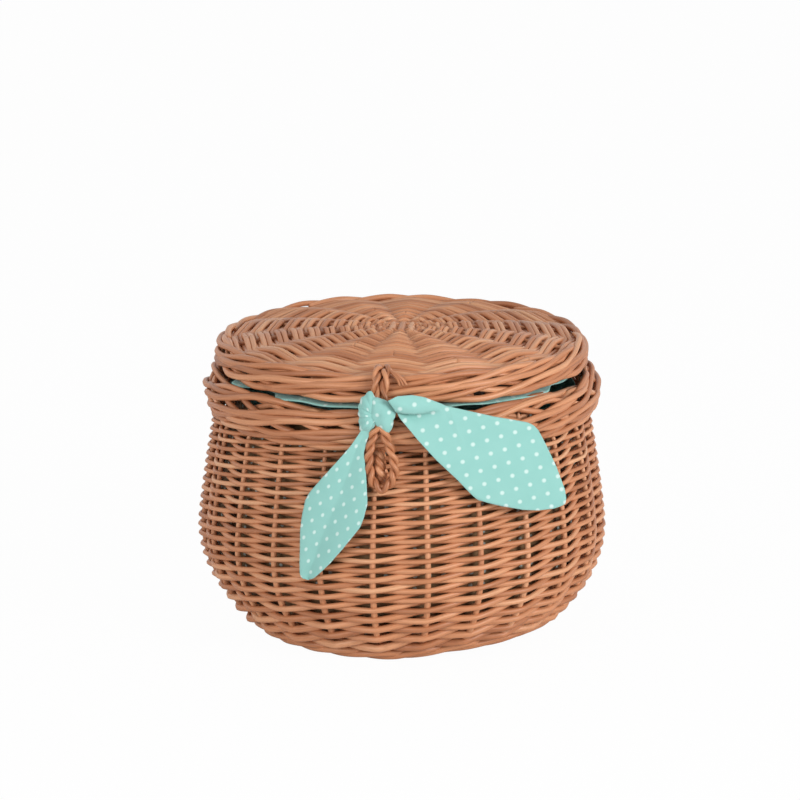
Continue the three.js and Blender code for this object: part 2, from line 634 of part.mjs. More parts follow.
const lifted = (shape) => leaned(shape.translate([0, 0, LID_BASE]));
lidCross.sticks.forEach((stick, i) => add(`lid_stick_${i + 1}`, lifted(stick), WILLOW_DARK));
add('lid_weave', lifted(lidWeave).subtract(lidCuts), WILLOW_PALE);
add('lid_border', lifted(lidBorder).subtract(lidCuts), WILLOW);
add('lid_lining', lifted(lidLining).subtract(lidCuts), COTTON);

add('lid_loop', lidLoop, WILLOW_DARK);
add('ribbon_knot', ribbonKnot, COTTON);
add('ribbon_tail_left', leftTail, COTTON);
add('ribbon_tail_right', rightTail, COTTON);

export default basket;
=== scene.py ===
# %% [markdown]
# # A lidded willow basket, piece by piece
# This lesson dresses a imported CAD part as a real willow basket: a pot-bellied body, a domed lid, a
# cloth lining and a ribbon. The CAD part has the basket's forms as plain shells. Here each woven
# shell is replaced by the rods that it is woven from, so that light and dark fall between them.
# All heights and radii below are written in millimetres and turned into metres when a mesh is made.

# %% Load the fixed frame
import math

import bpy
import numpy as np
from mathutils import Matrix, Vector


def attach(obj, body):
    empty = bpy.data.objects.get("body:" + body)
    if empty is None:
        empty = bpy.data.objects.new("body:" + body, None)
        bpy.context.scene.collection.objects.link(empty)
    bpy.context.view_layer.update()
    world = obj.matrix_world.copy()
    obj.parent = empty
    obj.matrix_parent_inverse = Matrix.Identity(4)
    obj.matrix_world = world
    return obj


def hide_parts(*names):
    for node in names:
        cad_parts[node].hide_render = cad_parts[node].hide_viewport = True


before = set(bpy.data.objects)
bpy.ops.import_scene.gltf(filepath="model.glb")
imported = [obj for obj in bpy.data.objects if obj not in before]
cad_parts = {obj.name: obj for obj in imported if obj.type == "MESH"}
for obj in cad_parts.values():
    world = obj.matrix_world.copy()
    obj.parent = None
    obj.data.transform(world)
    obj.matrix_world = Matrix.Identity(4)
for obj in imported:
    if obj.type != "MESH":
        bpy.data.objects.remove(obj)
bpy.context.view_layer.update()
MM = 0.001

# %% [markdown]
# The camera comes first, because every later choice of detail depends on how large a rod is in the
# picture. The basket is seen from a little above and a little to its right, from about two metres
# away, so a long lens is used. A vector aims the camera at the middle of the basket.

# %% Camera
RAISED = math.radians(12.3)
TURNED = math.radians(6.0)
AWAY = 2.150
LENS = 123.65
AIM_HEIGHT = 0.1766
AIM_ASIDE = 0.00156


def select_none():
    bpy.ops.object.select_all(action="DESELECT")


back = Vector((math.sin(TURNED) * math.cos(RAISED), -math.cos(TURNED) * math.cos(RAISED),
               math.sin(RAISED)))
aside = Vector((math.cos(TURNED), math.sin(TURNED), 0))
aim = Vector((0, 0, AIM_HEIGHT)) - aside * AIM_ASIDE
select_none()
bpy.ops.object.camera_add(location=aim + back * AWAY, rotation=back.to_track_quat("Z", "Y").to_euler())
camera = bpy.context.object
camera.name = "photo_camera"
camera.data.sensor_width = 36
camera.data.lens = LENS
camera.data.clip_end = 20
bpy.context.scene.camera = camera
print("camera at", [round(c, 3) for c in camera.location])

# %% [markdown]
# Peeled and boiled willow is tan with pale and reddish rods among it, each with its own tone. The
# rods' faces carry a UV map that runs along and round each rod, and an attribute, "tone", that is
# one number for each rod. The grain is a noise that is stretched along the rod. The round
# coordinate goes through a sine and a cosine, so that the grain closes without a seam.

# %% Helpers for materials
def new_material(name):
    material = bpy.data.materials.new(name)
    material.use_nodes = True
    nodes = material.node_tree.nodes
    shader = nodes["Principled BSDF"]
    return material, nodes, material.node_tree.links, shader


def ramp_node(nodes, stops):
    ramp = nodes.new("ShaderNodeValToRGB")
    elements = ramp.color_ramp.elements
    while len(elements) < len(stops):
        elements.new(0.5)
    for element, (place, colour) in zip(elements, stops):
        element.position = place
        element.color = (*colour, 1)
    return ramp


def math_node(nodes, links, operation, first, second=None):
    node = nodes.new("ShaderNodeMath")
    node.operation = operation
    for socket, value in zip(node.inputs, (first, second)):
        if value is None:
            continue
        if isinstance(value, (int, float)):
            socket.default_value = value
        else:
            links.new(value, socket)
    return node.outputs[0]


def mix_node(nodes, links, blend, factor, first, second):
    node = nodes.new("ShaderNodeMix")
    node.data_type = "RGBA"
    node.blend_type = blend
    for socket, value in zip((node.inputs[0], node.inputs[6], node.inputs[7]), (factor, first, second)):
        if isinstance(value, (int, float)):
            socket.default_value = value
        elif isinstance(value, tuple):
            socket.default_value = (*value, 1)
        else:
            links.new(value, socket)
    return node.outputs[2]


def noise_node(nodes, links, vector, scale, detail):
    noise = nodes.new("ShaderNodeTexNoise")
    noise.inputs["Scale"].default_value = scale
    noise.inputs["Detail"].default_value = detail
    links.new(vector, noise.inputs["Vector"])
    return noise


def add_bump(nodes, links, height, shader, strength, distance):
    bump = nodes.new("ShaderNodeBump")
    bump.inputs["Strength"].default_value = strength
    bump.inputs["Distance"].default_value = distance
    links.new(height, bump.inputs["Height"])
    links.new(bump.outputs["Normal"], shader.inputs["Normal"])


def shade(red, green, blue):
    """A colour as read off a screen, from 0 to 255, made linear."""
    linear = []
    for share in (red / 255, green / 255, blue / 255):
        linear.append(share / 12.92 if share <= 0.04045 else ((share + 0.055) / 1.055) ** 2.4)
    return tuple(linear)


# %% Willow
def willow_material(name, stops, grain=0.35, gloss=0.42):
    material, nodes, links, shader = new_material(name)
    uv = nodes.new("ShaderNodeUVMap")
    uv.uv_map = "rod"
    split = nodes.new("ShaderNodeSeparateXYZ")
    links.new(uv.outputs["UV"], split.inputs[0])
    tone = nodes.new("ShaderNodeAttribute")
    tone.attribute_name = "tone"
    turn = math_node(nodes, links, "MULTIPLY", split.outputs["Y"], 2 * math.pi)
    own_start = math_node(nodes, links, "MULTIPLY", tone.outputs["Fac"], 7.0)
    along = math_node(nodes, links, "ADD", split.outputs["X"], own_start)
    place = nodes.new("ShaderNodeCombineXYZ")
    links.new(math_node(nodes, links, "MULTIPLY", along, 22.0), place.inputs[0])
    for socket, wave in ((1, "COSINE"), (2, "SINE")):
        swung = math_node(nodes, links, wave, turn)
        links.new(math_node(nodes, links, "MULTIPLY", swung, 1.1), place.inputs[socket])
    streaks = noise_node(nodes, links, place.outputs[0], 2.2, 4)
    streaks.inputs["Roughness"].default_value = 0.6
    patches = noise_node(nodes, links, place.outputs[0], 0.35, 2)
    base = ramp_node(nodes, stops)
    uneven = math_node(nodes, links, "SUBTRACT", patches.outputs["Fac"], 0.5)
    shift = math_node(nodes, links, "MULTIPLY", uneven, 0.7)
    links.new(math_node(nodes, links, "ADD", tone.outputs["Fac"], shift), base.inputs[0])
    dark = ramp_node(nodes, [(0.34, (0.5, 0.36, 0.27)), (0.54, (1, 1, 1))])
    links.new(streaks.outputs["Fac"], dark.inputs[0])
    colour = mix_node(nodes, links, "MULTIPLY", grain, base.outputs[0], dark.outputs[0])
    links.new(colour, shader.inputs["Base Color"])
    shader.inputs["Roughness"].default_value = gloss
    shader.inputs["Specular IOR Level"].default_value = 0.4
    add_bump(nodes, links, streaks.outputs["Fac"], shader, 0.35, 0.0003)
    return material


TAN = [(0.0, shade(156, 99, 66)), (0.35, shade(189, 126, 87)), (0.7, shade(205, 143, 103)),
       (1.0, shade(220, 167, 127))]
# A paler tan for the stakes and sticks is painted light: it makes them look lit where they lie back in
# the weavers' shade.
PAINTED_LIGHT_TAN = [(0.0, shade(172, 114, 80)), (0.5, shade(206, 145, 105)), (1.0, shade(226, 172, 132))]
weave_willow = willow_material("weaving_willow", TAN)
border_willow = willow_material("border_willow", TAN, grain=0.45)
stake_willow = willow_material("stake_willow", PAINTED_LIGHT_TAN, gloss=0.5)
twist_willow = willow_material("twisted_willow", TAN, grain=0.6, gloss=0.38)
print("willow materials made")

# %% [markdown]
# Each woven piece is a set of long bent rods. A rod is a path with a round bevel, so the curve tools
# make it: a path is added, its points are set, and Convert turns it into a closed tube with a UV map.
# A rod's own number is found from the joined-up mesh: the rods don't touch, so each is one island.

# %% Helper that makes rods
LEAN, LEAN_START, LEAN_HEIGHT = 0.035, 178, 27


def islands(mesh):
    """One number for each vertex: the lowest vertex that it hangs together with."""
    ends = np.zeros(len(mesh.edges) * 2, dtype=np.int64)
    mesh.edges.foreach_get("vertices", ends)
    first, second = ends.reshape(-1, 2).T
    label = np.arange(len(mesh.vertices))
    while True:
        lower = label.copy()
        np.minimum.at(lower, first, label[second])
        np.minimum.at(lower, second, label[first])
        lower = lower[lower][lower]
        if (lower == label).all():
            return label
        label = lower


def merge_points(threshold):
    """Merges points of the active mesh that lie together and turns its faces outwards."""
    bpy.ops.object.mode_set(mode="EDIT")
    bpy.ops.mesh.select_all(action="SELECT")
    bpy.ops.mesh.remove_doubles(threshold=threshold)
    bpy.ops.mesh.normals_make_consistent(inside=False)
    bpy.ops.object.mode_set(mode="OBJECT")


def finish_rods(piece, length, seed, spread):
    """Merges the ends' caps, scales the UV map to metres along the rod and gives each rod its tone."""
    merge_points(1e-6)
    mesh = piece.data
    layer = mesh.uv_layers[0]
    layer.name = "rod"
    places = np.zeros(len(mesh.loops) * 2)
    layer.data.foreach_get("uv", places)
    places[0::2] *= length
    layer.data.foreach_set("uv", places)
    names, which = np.unique(islands(mesh), return_inverse=True)
    tones = np.random.default_rng(seed).uniform(*spread, len(names))
    attribute = mesh.attributes.new("tone", "FLOAT", "POINT")
    attribute.data.foreach_set("value", tones[which.ravel()].astype(np.float32))
    mesh.shade_smooth()
    return len(names)


def dress(piece, material):
    """Makes this the piece's only material."""
    piece.data.materials.clear()
    piece.data.materials.append(material)


def leaned(points):
    """The lean of the CAD part: above the neck everything lies a little lower towards the front."""
    points = np.array(points, float)
    points[..., 2] += LEAN * points[..., 1] * np.clip((points[..., 2] - LEAN_START) / LEAN_HEIGHT, 0, 1)
    return points


def make_rods(name, strands, material, seed=1, sides=8, spread=(0.15, 0.85), lean=False):
    """strands are (points, radii) in millimetres. They become one piece of closed rods."""
    select_none()
    bpy.ops.curve.primitive_nurbs_path_add()
    path = bpy.context.object
    path.name = name
    shape = path.data
    shape.splines.clear()
    shape.dimensions = "3D"
    shape.twist_mode = "MINIMUM"
    shape.bevel_depth = 1
    shape.bevel_resolution = max(sides // 2 - 2, 0)
    shape.use_fill_caps = True
    length = 0
    for points, radii in strands:
        points = (leaned(points) if lean else np.asarray(points, float)) * MM
        spline = shape.splines.new("POLY")
        spline.points.add(len(points) - 1)
        rows = np.ones((len(points), 4))
        rows[:, :3] = points
        spline.points.foreach_set("co", rows.ravel())
        thickness = np.broadcast_to(np.asarray(radii, float) * MM, len(points))
        spline.points.foreach_set("radius", thickness.copy())
        length += np.linalg.norm(np.diff(points, axis=0), axis=1).sum() / len(strands)
    bpy.ops.object.convert(target="MESH")
    piece = bpy.context.object
    count = finish_rods(piece, length, seed, spread)
    dress(piece, material)
    print(name, "rods:", count, "triangles:", sum(len(f.vertices) - 2 for f in piece.data.polygons))
    return piece


def rounded(radius, count, ends=0.35):
    """Radii along a rod whose two ends are rounded off."""
    radii = np.full(count, float(radius))
    radii[0] = radii[-1] = radius * ends
    radii[1] = radii[-2] = radius * 0.85
    return radii


def around(radius, degrees, height):
    """Points at the given radii, angles and heights; angle 0 is +X."""
    angle = np.radians(degrees)
    return np.stack([radius * np.cos(angle), radius * np.sin(angle), height + 0 * angle], axis=1)


# %% [markdown]
# The wall's own curve is the one measurement that everything follows: a foot, a belly and a neck.
# It is written once, as a function of height, so that each row of weaving can ask it for its radius.

# %% The wall's curve
FOOT, BELLY, NECK = 112.7, 160.2, 148.3
BELLY_HEIGHT, NECK_HEIGHT = 85, 168
WALL = 11
STAKES = 24
STEP = 360 / STAKES
POINTS = 8  # of a rod, from one stake to the next
FIRST_STAKE = -92


def wall(height):
    height = np.asarray(height, float)
    below = BELLY - (BELLY - FOOT) * np.clip((BELLY_HEIGHT - height) / BELLY_HEIGHT, 0, None) ** 2.2
    share = np.clip((height - BELLY_HEIGHT) / (NECK_HEIGHT - BELLY_HEIGHT), 0, 1)
    return np.where(height < BELLY_HEIGHT, below, BELLY - (BELLY - NECK) * share ** 1.25)


print("belly", float(wall(BELLY_HEIGHT)), "neck", float(wall(NECK_HEIGHT)))

# %% [markdown]
# The stakes are the upright rods. They come out from under the base, turn up sharply and follow the
# wall to the border. Between the weavers they show as short pale stretches, so they are plain rods
# with a slight taper, one for each of the 24 places.

# %% Stakes
STAKE_RADIUS = 2.1
STAKE_OUT = 1.2  # the stakes lie this far outside the middle of the wall
UNDER_RADII = [76, 92, 101, 107.5, 112.5]
UNDER_HEIGHTS = [6.5, 6.6, 7.2, 10, 15]
rng = np.random.default_rng(4)
strands = []
for place in range(STAKES):
    heights = np.concatenate([UNDER_HEIGHTS, np.linspace(22, 196, 40)])
    radii = np.concatenate([UNDER_RADII, wall(heights[5:]) - WALL / 2 + STAKE_OUT])
    radii = np.where(heights > NECK_HEIGHT, NECK - WALL / 2 + rng.normal(0, 0.15), radii)
    turn = FIRST_STAKE + STEP * place + rng.normal(0, 0.25) * np.sin(heights / 40 + place)
    taper = np.linspace(1.25, 0.86, len(heights))
    strands.append((around(radii, turn, heights), rounded(STAKE_RADIUS, len(heights)) * taper))
stakes = make_rods("stakes", strands, stake_willow, seed=11, lean=True)
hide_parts(*[f"side_stake_{i + 1:02d}" for i in range(STAKES)])
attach(stakes, "basket")

# %% [markdown]
# The side is woven with one rod for each stake, all worked round together: each rod goes in front of
# one stake and behind the next, and climbs by one row as it does. So every row is a different rod,
# and the rows rise a little to the right. A rod's way in and out of the wall is nearly a straight
# zigzag, which leaves the small dark triangles beside each stake. It dips where it bows out over a
# stake and rises behind the next one, most of all in the heavy rows at the foot. Rods are thicker than
# their rows are high, because each one lies in the hollow between its neighbours. The lowest two rows
# belong to the foot.

# %% Side weaving
ROW_LEVELS = [10, 22, 50, 75, 100, 130, 165]
ROW_PITCHES = [4.9, 4.6, 4.15, 3.85, 3.6, 3.35, 3.05]
FIRST_ROW = 10.6
LAST_ROW = 167.6
CUT = 2 * POINTS  # the rods of the foot hand over to those of the side here, behind a stake
FOOT_RISE = 4.4
FOOT_NARROW = 0.018


def settled(points):
    """A basket made by hand isn't even: the foot is a little high and narrow at the right front."""
    angle = np.degrees(np.arctan2(points[:, 1], points[:, 0]))
    share = np.interp(angle, [-86, -64, -28, -2], [0, 1, 1, 0]) * np.clip(1 - points[:, 2] / 40, 0, 1)
    narrow = 1 - FOOT_NARROW * share
    points = points * np.stack([narrow, narrow, 1 + 0 * share], axis=1)
    return points + np.outer(FOOT_RISE * share, (0, 0, 1))


def side_heights(low, high):
    """The height of one rod at each stake that it passes, from the heavy rows up to the neck."""
    heights = [low]
    while heights[-1] < high:
        heights.append(heights[-1] + np.interp(heights[-1], ROW_LEVELS, ROW_PITCHES))
    return np.array(heights)


rows = side_heights(FIRST_ROW, LAST_ROW - 0.4)
rows[-1] = LAST_ROW
rng = np.random.default_rng(7)
side_strands = []
foot_strands = []
for rod in range(STAKES):
    steps = np.linspace(0, len(rows) - 1, (len(rows) - 1) * POINTS + 1)
    drift = np.interp(steps, np.arange(len(rows)), rng.normal(0, 0.28, len(rows)))
    height = np.interp(steps, np.arange(len(rows)), rows) + drift
    pitch = np.interp(height, ROW_LEVELS, ROW_PITCHES)
    bow = 0.6 * (2 * np.abs(steps % 2 - 1) - 1) + 0.4 * np.cos(math.pi * steps)
    thick = pitch * (0.58 - 0.07 * np.abs(bow)) * rng.uniform(0.94, 1.05)
    thick = thick * (1 + 0.03 * np.sin(steps / 3 + rod)) * np.interp(height, [10, 28, 46], [1.2, 1.14, 1])
    sway = WALL / 2 - thick + np.interp(height, [10, 40, 120], [1.2, 0.9, 0.5])
    radius = wall(height) - WALL / 2 - sway * bow
    height = height + bow * np.interp(height, [10, 30, 60, 165], [2.2, 1.7, 0.6, 0.15])
    turn = FIRST_STAKE + STEP * (rod + steps)
    thick[-1] *= 0.4
    points = settled(around(radius, turn, height))
    side_strands.append((points[CUT:], thick[CUT:]))
    foot_strands.append((points[:CUT + 1], thick[:CUT + 1]))
side = make_rods("side_weaving", side_strands, weave_willow, seed=21)
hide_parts("side_weave")
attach(side, "basket")

# %% [markdown]
# The basket stands on one heavy round at the foot, and another lies under the border. Both are a
# three-rod wale: each rod goes in front of two stakes and behind one, over the other two, so the
# round looks like a slanting rope. The same cosine does it, with a period of three stakes, and a
# small wave in the height makes each stroke climb. The first rows of the side grow out of the foot,
# and two plain rounds inside it keep daylight out of its gaps.

# %% Heavy rounds
def wale(level, rod_radius, wave, radius_at, seed):
    """A round of three rods: each is in front of two stakes, then behind one."""
    rng = np.random.default_rng(seed)
    strands = []
    for rod in range(3):
        steps = np.linspace(0, STAKES, STAKES * POINTS + 1)
        phase = 2 * math.pi * (steps - rod) / 3
        height = level - wave * np.sin(phase) + 0.3 * np.sin(math.pi * steps / 4 + 9 * rng.random())
        inward = ((1 + np.cos(phase)) / 2) ** 1.5
        radius = radius_at(height) - rod_radius + 0.5 - inward * (WALL - 2 * rod_radius + 0.8)
        thick = rod_radius * rng.uniform(0.94, 1.05) * (1 + 0.03 * np.sin(math.pi * steps / 6 + rod))
        turn = FIRST_STAKE + 180 + STEP * steps + 0.8
        strands.append((settled(around(radius, turn, height)), thick))
    return strands


def foot_radius(height):
    return np.interp(height, [0, 4, 8, 14, 22], [112, 118.0, 123.0, 129.4, 136.2])


def neck_radius(height):
    return NECK + 1.2 + 0 * height


foot_strands += wale(5.2, 2.75, 2.1, foot_radius, 31)
inner_turn = np.linspace(0, 360, 121)
for level in (6.5, 11.5):
    inner_round = around(foot_radius(level) - 13, inner_turn, level)
    foot_strands.append((settled(inner_round), rounded(2.7, len(inner_turn))))
upsett = make_rods("upsett_rods", foot_strands, weave_willow, seed=32)
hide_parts("upsett_wale")
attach(upsett, "basket")
neck = make_rods("neck_rods", wale(172.9, 2.35, 2.0, neck_radius, 33), weave_willow, seed=34)
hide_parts("top_wale")
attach(neck, "basket")

# %% [markdown]
# The border is made of the stakes' own ends, laid down in long slanting strokes: each stroke comes
# up from under the outer edge, climbs over the bulge beside its neighbours, crosses the top and goes
# down inside. A second set slants the other way beneath it and shows in the gaps. A path round the
# border's section gives radius and height, and every rod follows it over some hundred degrees. On
# its way it goes in and out and up and down past its neighbours, and every third rod ends, cut
# short, on the top.

# %% Border of the body
def along_path(path, shares):
    """Points on a path of (radius, height) pairs at the given shares of its length."""
    path = np.asarray(path, float)
    steps = np.linalg.norm(np.diff(path, axis=0), axis=1)
    places = np.concatenate([[0], np.cumsum(steps)]) / steps.sum()
    fine = np.linspace(0, 1, 200)
    smooth = []
    for column in path.T:
        values = np.interp(fine, places, column)
        kernel = np.hanning(17) / np.hanning(17).sum()
        padded = np.concatenate([np.full(8, values[0]), values, np.full(8, values[-1])])
        smooth.append(np.interp(shares, fine, np.convolve(padded, kernel, mode="valid")))
    return smooth


def border_rods(path, span, radius, seed, ease=1, turn=0, jitter=0.5, wave=(0, 0, 0), blunt=(0, 1)):
    """A rod for each stake. wave is how far it goes in and out, how far up and down, and how often.
    Every third rod has only the part of the path that blunt names."""
    rng = np.random.default_rng(seed)
    strands = []
    for rod in range(STAKES):
        share = np.linspace(0, 1, 56)
        low = rng.uniform(0, 0.015)
        high = rng.uniform(0.98, 1)
        if rod % 3 == 0:
            low = max(low, blunt[0])
            high = min(high, blunt[1])
        section = low + (high - low) * share ** ease
        distance, height = along_path(path, np.clip(section, 0, 1))
        wander = jitter * np.sin(share * 5 + 6.3 * rng.random())
        swing = 2 * math.pi * wave[2] * share + rng.normal(0, 0.25)
        angle = turn + rod * STEP + span * share + rng.normal(0, 0.7)
        thick = rounded(radius * rng.uniform(0.9, 1.08), len(share), 0.8) * (1.04 - 0.12 * share)
        distance = distance + 0.4 * wander + wave[0] * np.sin(swing)
        strands.append((around(distance, angle, height + wander + wave[1] * np.cos(swing)), thick))
    return strands


RIM_OUTER = [(145.5, 176.8), (149.2, 178.4), (152.6, 184.0), (152.2, 190.5), (150.0, 197), (147, 202.0),
             (142.6, 203.2), (139.9, 200), (139.8, 188)]
RIM_UNDER = [(147, 179), (149.8, 184), (149.6, 190), (147.4, 195.8), (144.6, 199.2), (142.2, 198.6),
             (141.8, 188)]
OUTER_RADIUS = 2.6
UNDER_SPAN = -38
rim_outer = border_rods(RIM_OUTER, 108, OUTER_RADIUS, 41, ease=1.05, turn=FIRST_STAKE, jitter=1.0,
                        wave=(1.2, 1.4, 3.3), blunt=(0, 0.76))
rim_under = border_rods(RIM_UNDER, UNDER_SPAN, 2.5, 42, turn=FIRST_STAKE + 7)
rim = make_rods("rim_rods", rim_outer + rim_under, border_willow, seed=43, lean=True)
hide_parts("rim_border")
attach(rim, "basket")

# %% [markdown]
# The base is woven on a cross of six sticks. Its rows go over and under the twelve arms, and it is
# seen only from below, so round rows with few sides are enough. The lid uses the same helper with
# seven sticks: there the rows run straight across each of the fourteen arms and turn between them,
# which gives the ridges.

# %% Rows on a cross of sticks
def cross_rows(arms, first, last, pitch, radius, height_at, lift, seed, turn, chord, dip=0.0, middle=0.8,
               beside=(0,)):
    """Rings from the first to the last radius. In the middle they are finer, by the share in middle.
    A ring has one rod for each place in beside."""
    step = 360 / arms
    rng = np.random.default_rng(seed)
    strands = []
    ring = 0
    distance = first
    while distance <= last:
        angle = np.linspace(0, 360, arms * 20 + 1) + 5 * ring * step
        nearest = ((angle + step / 2) % step - step / 2) / (step / 2)
        straight = 1 + chord * (1 / np.cos(np.radians(nearest * step / 2)) - 1)
        wobble = 0.35 * np.sin(np.radians(angle * 2) + 6.3 * rng.random())
        wobble = wobble + 0.2 * np.sin(np.radians(angle * 5))
        side = np.cos(math.pi * np.round(angle / step) + math.pi * ring)
        peak = 0.55 * np.cos(math.pi * nearest / 2) + 0.45 * (1 - np.abs(nearest))
        grow = min(1, 0.5 + (distance - first) / 55)
        height = height_at(distance * straight) + grow * (lift * side * peak - dip * np.abs(nearest))
        fine = np.interp(distance, [first, 60], [middle, 1])
        for place in beside:
            uneven = 1 + 0.05 * np.sin(np.radians(angle * 3) + ring)
            thick = fine * radius * rng.uniform(0.94, 1.05) * uneven
            reach = distance * straight + wobble + place * fine
            strands.append((around(reach, angle + turn, height - 0.12 * place), thick))
        distance += pitch * fine
        ring += 1
    return strands


def stick_rods(arms, reach, height_at, turn, ends):
    """The sticks of a cross, fanned into arms."""
    strands = []
    for number in range(arms):
        angle = turn + 360 / arms * number
        distance = np.linspace(9, reach, 24)
        height = height_at(distance)
        points = around(distance, angle, height)
        for radius_end, height_end in ends:
            points = np.vstack([points, around(np.array([radius_end]), angle, np.array([height_end]))])
        strands.append((points, rounded(1.9, len(points))))
    return strands


def cross_centre(height_at, turn, thick, thin, spacing):
    """The middle of the cross, where the sticks lie side by side."""
    strands = []
    along = np.linspace(-17, 17, 12)
    for way, radius, numbers in ((90, thick, (-1, 0, 1)), (0, thin, (-1.5, -0.5, 0.5, 1.5))):
        for number in numbers:
            across = number * spacing * (1 + 0 * along)
            angle = math.radians(turn + way)
            x = along * math.cos(angle) - across * math.sin(angle)
            y = along * math.sin(angle) + across * math.cos(angle)
            strands.append((np.stack([x, y, height_at(np.hypot(x, y))], axis=1), rounded(radius, 12)))
    return strands


def base_level(distance):
    return 7.5 + 0 * distance


BASE_ARMS = 12
base_rows = cross_rows(BASE_ARMS, 17, 95.5, 4.0, 2.0, base_level, 3.6, 51, FIRST_STAKE + STEP / 2,
                       chord=0.5)
base = make_rods("base_rows", base_rows, weave_willow, seed=52, sides=6)
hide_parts("base_weave")
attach(base, "basket")

# %% [markdown]
# The base's own sticks are right as solids, since only their tips and undersides show. They keep
# their CAD shape and get the stakes' willow, mapped by Object coordinates because a CAD mesh has no
# rod UV.

# %% Willow for carried-over solids
def solid_willow(name, stops):
    material, nodes, links, shader = new_material(name)
    where = nodes.new("ShaderNodeTexCoord")
    stretch = nodes.new("ShaderNodeMapping")
    stretch.inputs["Scale"].default_value = (1.0, 0.25, 1.0)
    links.new(where.outputs["Object"], stretch.inputs["Vector"])
    streaks = noise_node(nodes, links, stretch.outputs[0], 260, 4)
    base = ramp_node(nodes, stops)
    links.new(streaks.outputs["Fac"], base.inputs[0])
    links.new(base.outputs[0], shader.inputs["Base Color"])
    shader.inputs["Roughness"].default_value = 0.5
    add_bump(nodes, links, streaks.outputs["Fac"], shader, 0.3, 0.0004)
    return material


# The sticks get the same paler tan, painted light.
stick_willow = solid_willow("stick_willow", PAINTED_LIGHT_TAN)
for number in range(BASE_ARMS // 2):
    dress(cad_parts[f"base_stick_{number + 1}"], stick_willow)
print("base sticks dressed")

# %% [markdown]
# The lid is a low dome woven like the base, with two rods side by side in each row. The rows pass
# straight over each stick and turn between the sticks, so that ridges run out along the arms.

# %% Lid weaving
LID_TOP = 239
LID_FALL = 8.5  # from the middle of the lid to its last row
LID_HALF = 5.6  # from the top of the weave to its middle
LID_ARMS = 14
LID_REACH = 134  # the lid's weave ends and its border starts here
LID_TURN = 2  # degrees from the front arm to the front


def lid_middle(distance):
    return LID_TOP - LID_FALL * (np.asarray(distance, float) / LID_REACH) ** 3 - LID_HALF


lid_rows = cross_rows(LID_ARMS, 10.5, LID_REACH, 6.3, 2.25, lid_middle, 2.7, 61, LID_TURN - 90,
                      chord=1.0, dip=0.6, middle=0.7, beside=(-2.1, 2.1))
lid_weaving = make_rods("lid_rows", lid_rows, weave_willow, seed=62, spread=(0.2, 0.95), lean=True)
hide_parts("lid_weave")
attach(lid_weaving, "lid")
lid_arms = stick_rods(LID_ARMS, 124, lid_middle, LID_TURN - 90, [(131, 226), (136, 220.5)])
lid_cross = cross_centre(lid_middle, LID_TURN, 3.2, 1.8, 7.4)
lid_sticks = make_rods("lid_sticks", lid_arms + lid_cross, stake_willow, seed=64, lean=True)
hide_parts(*[f"lid_stick_{i + 1}" for i in range(7)])
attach(lid_sticks, "lid")

# %% [markdown]
# The lid's border is one long slanting stroke for every fifteen degrees. Each rod starts under the
# outer edge, every third one a little later and with a blunt end that shows, rolls up over the edge,
# and runs inwards across the shoulder until it dives under the rows of the crown.

# %% Border of the lid
LID_OUTER = [(138, 210.6), (141.8, 211.6), (143.4, 216), (142.8, 221), (140.6, 225.4), (137.4, 227.6),
             (133.4, 227.2)]
LID_UNDER = [(137.5, 211.8), (140.2, 215), (139.4, 219.6), (135.5, 222.4), (131, 223)]
lid_outer = border_rods(LID_OUTER, 82, OUTER_RADIUS, 71, turn=FIRST_STAKE + 4, jitter=0.8,
                        wave=(0.9, 1.1, 2.4), blunt=(0.12, 1))
lid_under = border_rods(LID_UNDER, UNDER_SPAN, 2.4, 72, turn=FIRST_STAKE)
lid_border = make_rods("lid_border_rods", lid_outer + lid_under, border_willow, seed=73, lean=True)
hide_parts("lid_border")
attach(lid_border, "lid")

# %% [markdown]
# The hinge rings, the ring on the front and the loop of the lid are made of two rods twisted round
# each other. A helper walks along a middle line, carries a side direction with it, and lays each rod
# a little less than its own radius from the line, turning as it goes.

# %% Twisted rods
def carried_sides(points):
    """Two directions across the path at each point, carried along it without sudden turns."""
    tangents = np.gradient(points, axis=0)
    tangents /= np.linalg.norm(tangents, axis=1)[:, None]
    side = np.cross(tangents[0], (0.31, 0.2, 0.93))
    sides = []
    for tangent in tangents:
        side = side - tangent * side.dot(tangent)
        side /= np.linalg.norm(side)
        sides.append(side)
    sides = np.array(sides)
    return sides, np.cross(tangents, sides)


def resample(points, count):
    """The same path with evenly spaced points."""
    points = np.asarray(points, float)
    lengths = np.concatenate([[0], np.cumsum(np.linalg.norm(np.diff(points, axis=0), axis=1))])
    places = np.linspace(0, lengths[-1], count)
    return np.stack([np.interp(places, lengths, column) for column in points.T], axis=1)


def smooth_path(points, count):
    """A soft curve near the given points, by corner cutting."""
    points = np.asarray(points, float)
    for _ in range(3):
        cut = np.empty((2 * len(points) - 2, 3))
        cut[0::2] = 0.75 * points[:-1] + 0.25 * points[1:]
        cut[1::2] = 0.25 * points[:-1] + 0.75 * points[1:]
        points = np.vstack([points[:1], cut, points[-1:]])
    return resample(points, count)


def twisted(path, radius, turns, phase=0.0, spread=1.0):
    """Two rods round the path. turns is a number for the whole path, or one for each of its points."""
    sides, others = carried_sides(path)
    wound = turns * np.linspace(0, 1, len(path)) if np.ndim(turns) == 0 else turns
    strands = []
    for half in (0, 0.5):
        angle = (2 * math.pi * (wound + half) + phase)[:, None]
        points = path + (np.cos(angle) * sides + np.sin(angle) * others) * (radius * 0.92 * spread)
        strands.append((points, rounded(radius, len(path), 0.6)))
    return strands


def ring_path(centre, deep, tall):
    angle = np.linspace(0, 2 * math.pi, 72)
    x = centre[0] + 0 * angle
    return np.stack([x, centre[1] + deep * np.cos(angle), centre[2] + tall * np.sin(angle)], axis=1)


